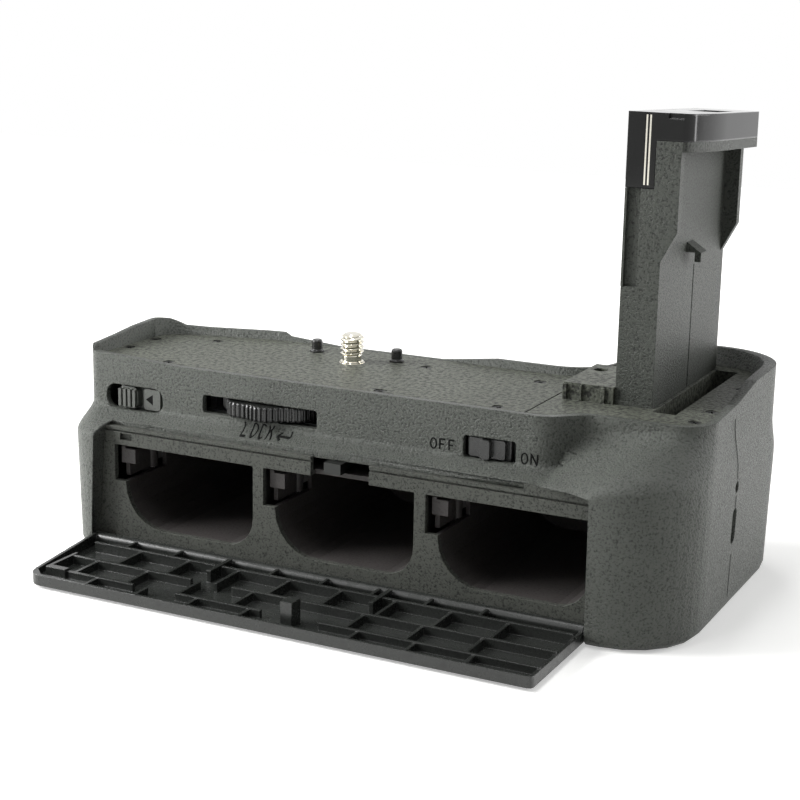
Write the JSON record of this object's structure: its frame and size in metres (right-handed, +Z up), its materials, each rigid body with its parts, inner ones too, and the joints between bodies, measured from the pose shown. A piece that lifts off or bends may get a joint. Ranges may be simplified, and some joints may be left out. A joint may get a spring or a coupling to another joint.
{
  "type": "camera battery grip",
  "caption": "Wide battery grip that screws under a camera, with battery bays behind a drop-down door, a geared lock wheel and a tower that fills the camera's own battery chamber.",
  "frame": {"origin": "the camera screw's axis at the top face of the seat plate", "axes": "+X towards the tower end, along the grip's length; +Y to the camera's front, away from the door; +Z up, along the camera screw"},
  "size_m": [0.1736, 0.1222, 0.1229],
  "materials": {
    "shell": "black plastic with a fine spark-eroded grain",
    "plate": "black plastic with a fine grain",
    "inner_plastic": "black moulded plastic",
    "door": "smooth black moulded plastic",
    "control": "black moulded plastic",
    "steel": "plain steel",
    "nickel": "bright nickel plating",
    "nylon": "natural nylon",
    "gilt": "gold-plated contact metal",
    "board": "green solder mask",
    "tower": "black plastic, satin",
    "gloss": "high-gloss black plastic",
    "lens": "clear light pipe",
    "lead": "flat flexible lead",
    "black_screw": "blackened steel"
  },
  "bodies": {
    "body": {"rear_shell": "shell", "front_shell": "shell", "seat_plate": "plate", "tower_deck": "plate", "base_plate": "steel", "tripod_bush": "nickel", "cage_face": "inner_plastic", "battery_sleeve_1": "inner_plastic", "battery_sleeve_2": "inner_plastic", "battery_sleeve_3": "inner_plastic", "contact_block_1": "inner_plastic", "contact_block_2": "inner_plastic", "contact_block_3": "inner_plastic", "bay_contacts": "gilt", "catch_pins": "steel", "catch_springs": "steel", "hinge_pin": "steel", "latch_spring": "steel", "wheel_axle": "steel", "gear_bracket": "steel", "locating_pins": "control", "slide_switch": "steel", "circuit_board": "board", "board_screws": "steel", "port_board": "board", "charge_socket": "steel", "indicator_lens": "lens", "tower_near_half": "tower", "tower_far_half": "tower", "tower_cap": "gloss", "tower_contacts": "nickel", "tower_lead": "lead", "plate_screws": "black_screw", "deck_screws": "black_screw", "base_screws": "black_screw"},
    "door": {"battery_door": "door"},
    "latch": {"latch_slider": "control", "latch_bar": "steel"},
    "wheel": {"lock_wheel": "control", "wheel_gear": "nylon"},
    "screw": {"screw_gear": "nylon", "camera_screw": "nickel"},
    "switch": {"power_switch": "control"},
    "catch_1": {"battery_catch_1": "inner_plastic"},
    "catch_2": {"battery_catch_2": "inner_plastic"},
    "catch_3": {"battery_catch_3": "inner_plastic"}
  },
  "joints": [
    {"name": "door_hinge", "type": "hinge", "parent": "body", "child": "door", "pos_m": [0, -0.0386, -0.048], "axis": [-1, 0, 0], "range_deg": [0, 90]},
    {"name": "latch_slide", "type": "slide", "parent": "body", "child": "latch", "axis": [-1, 0, 0], "range_m": [0, 0.0035], "stiffness_N_per_m": 250, "deforming": ["latch_spring"]},
    {"name": "wheel_turn", "type": "hinge", "parent": "body", "child": "wheel", "pos_m": [-0.0114, -0.0174, 0], "axis": [0, 0, 1], "continuous": true},
    {"name": "screw_turn", "type": "hinge", "parent": "body", "child": "screw", "pos_m": [0, 0, 0], "axis": [0, 0, 1], "continuous": true},
    {"name": "power_slide", "type": "slide", "parent": "body", "child": "switch", "axis": [1, 0, 0], "range_m": [0, 0.0025]},
    {"name": "catch_1_pivot", "type": "hinge", "parent": "body", "child": "catch_1", "pos_m": [-0.0506, -0.0215, -0.0267], "axis": [0, 0, -1], "range_deg": [0, 9], "stiffness_Nm_per_rad": 0.02},
    {"name": "catch_2_pivot", "type": "hinge", "parent": "body", "child": "catch_2", "pos_m": [-0.0044, -0.0215, -0.0267], "axis": [0, 0, -1], "range_deg": [0, 9], "stiffness_Nm_per_rad": 0.02},
    {"name": "catch_3_pivot", "type": "hinge", "parent": "body", "child": "catch_3", "pos_m": [0.0418, -0.0215, -0.0267], "axis": [0, 0, -1], "range_deg": [0, 9], "stiffness_Nm_per_rad": 0.02}
  ],
  "couplings": [
    {"joint": "screw_turn", "follows": "wheel_turn", "ratio": -0.73333}
  ]
}
